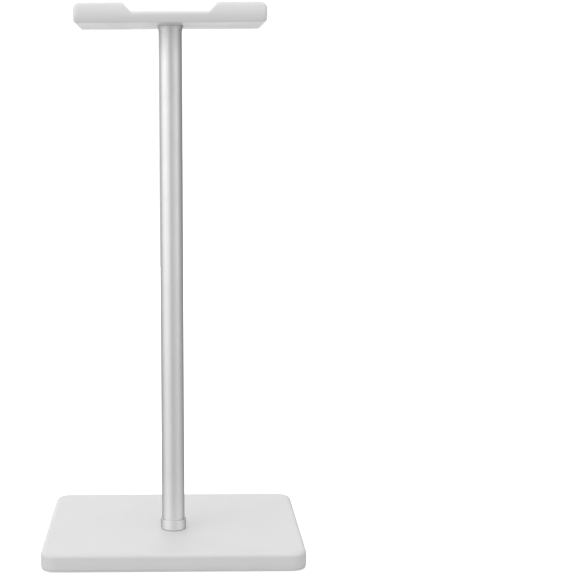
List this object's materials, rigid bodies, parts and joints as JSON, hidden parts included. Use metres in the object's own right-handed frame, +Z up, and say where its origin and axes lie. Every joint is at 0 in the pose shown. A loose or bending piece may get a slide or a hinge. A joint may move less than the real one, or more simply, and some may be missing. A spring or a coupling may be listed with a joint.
{
  "type": "headphone stand",
  "caption": "Free-standing headphone stand: flat weighted base, slim round post and a flexible T-shaped headrest with raised front and back lips whose wings bend down.",
  "frame": {"origin": "centre of the base's rectangular outline, on the plane that the feet stand on", "axes": "+X along the headrest towards its right wing as seen from the front, +Y from the front to the back, +Z up along the post"},
  "size_m": [0.125, 0.098, 0.2634],
  "materials": {
    "base_abs": "fine matt white moulding",
    "base_plate_abs": "spark-textured white moulding",
    "ballast_steel": "plain rolled and zinc plated",
    "screw_steel": "bright zinc",
    "foot_rubber": "soft grey",
    "post_aluminium": "satin anodised",
    "plug_steel": "turned",
    "insert_brass": "turned",
    "core_abs": "plain moulding",
    "headrest_tpu": "soft satin white elastomer"
  },
  "bodies": {
    "stand": {"base_cover": "base_abs", "base_plate": "base_plate_abs", "ballast_plate": "ballast_steel", "cover_screws": "screw_steel", "foot_front_left": "foot_rubber", "foot_front_right": "foot_rubber", "foot_rear_left": "foot_rubber", "foot_rear_right": "foot_rubber", "foot_collar": "post_aluminium", "post_bolt": "screw_steel", "lower_plug": "plug_steel", "post_tube": "post_aluminium", "upper_plug": "plug_steel", "top_collar": "post_aluminium", "headrest_stud": "screw_steel", "headrest_insert": "insert_brass", "headrest_core": "core_abs", "headrest_centre": "headrest_tpu"},
    "left_wing": {"headrest_left_wing": "headrest_tpu"},
    "right_wing": {"headrest_right_wing": "headrest_tpu"}
  },
  "joints": [
    {"name": "left_wing_flex", "type": "hinge", "parent": "stand", "child": "left_wing", "pos_m": [-0.015, -0.01, 0.2543], "axis": [0, -1, 0], "range_deg": [0, 15], "stiffness_Nm_per_rad": 0.15, "springref_deg": -0.69},
    {"name": "right_wing_flex", "type": "hinge", "parent": "stand", "child": "right_wing", "pos_m": [0.015, -0.01, 0.2543], "axis": [0, 1, 0], "range_deg": [0, 15], "stiffness_Nm_per_rad": 0.15, "springref_deg": -0.69}
  ]
}
